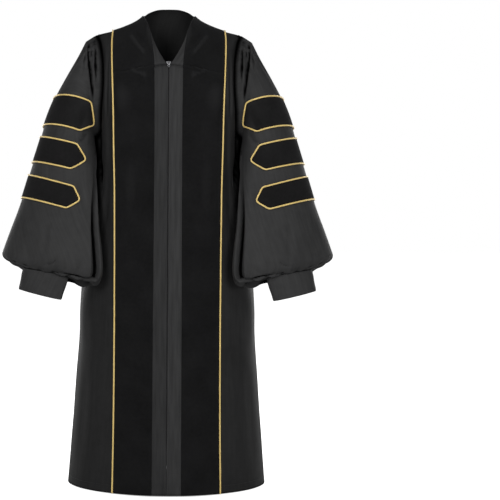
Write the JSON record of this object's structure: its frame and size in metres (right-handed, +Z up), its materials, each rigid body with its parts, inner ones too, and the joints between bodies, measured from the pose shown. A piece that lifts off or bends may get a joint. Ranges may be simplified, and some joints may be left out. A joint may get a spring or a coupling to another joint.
{
  "type": "doctoral gown",
  "caption": "Long bell-sleeved academic gown with velvet front panels, velvet sleeve bars, gold piping and a front zip, filled out as worn.",
  "frame": {"origin": "midway between the wearer's shoulders, level with the two side neck points where the shoulder seams meet the neck; the wearer's neck and shoulders hold the gown up there", "axes": "+Z up, -Y the way the gown faces, +X towards the wearer's left, which is on the right of someone who looks at its front"},
  "size_m": [0.94, 0.3694, 1.3686],
  "materials": {
    "cloth": "black woven polyester with a soft sheen",
    "velvet": "black short-pile velvet",
    "gold_piping": "gold satin-covered cord piping",
    "zip_tape": "black woven zip tape",
    "zip_metal": "bright nickel-plated metal"
  },
  "bodies": {
    "gown": {"back": "cloth", "front_left": "cloth", "front_right": "cloth", "placket_left": "cloth", "placket_right": "cloth", "neck_facing_left": "cloth", "neck_facing_right": "cloth", "sleeve_left": "cloth", "sleeve_right": "cloth", "cuff_left": "cloth", "cuff_right": "cloth", "velvet_front_left": "velvet", "velvet_front_right": "velvet", "velvet_yoke_left": "velvet", "velvet_yoke_right": "velvet", "bar_1_left": "velvet", "bar_1_right": "velvet", "bar_2_left": "velvet", "bar_2_right": "velvet", "bar_3_left": "velvet", "bar_3_right": "velvet", "piping_front_left": "gold_piping", "piping_front_right": "gold_piping", "bar_piping_1_left": "gold_piping", "bar_piping_1_right": "gold_piping", "bar_piping_2_left": "gold_piping", "bar_piping_2_right": "gold_piping", "bar_piping_3_left": "gold_piping", "bar_piping_3_right": "gold_piping", "zip_tape_left": "zip_tape", "zip_tape_right": "zip_tape", "zip_slider": "zip_metal"},
    "zip_pull": {"zip_pull_tab": "zip_metal"}
  },
  "joints": [
    {"name": "pull_tab_hinge", "type": "hinge", "parent": "gown", "child": "zip_pull", "pos_m": [0, -0.12867, -0.1497], "axis": [-1, 0, 0], "range_deg": [0, 160]}
  ]
}
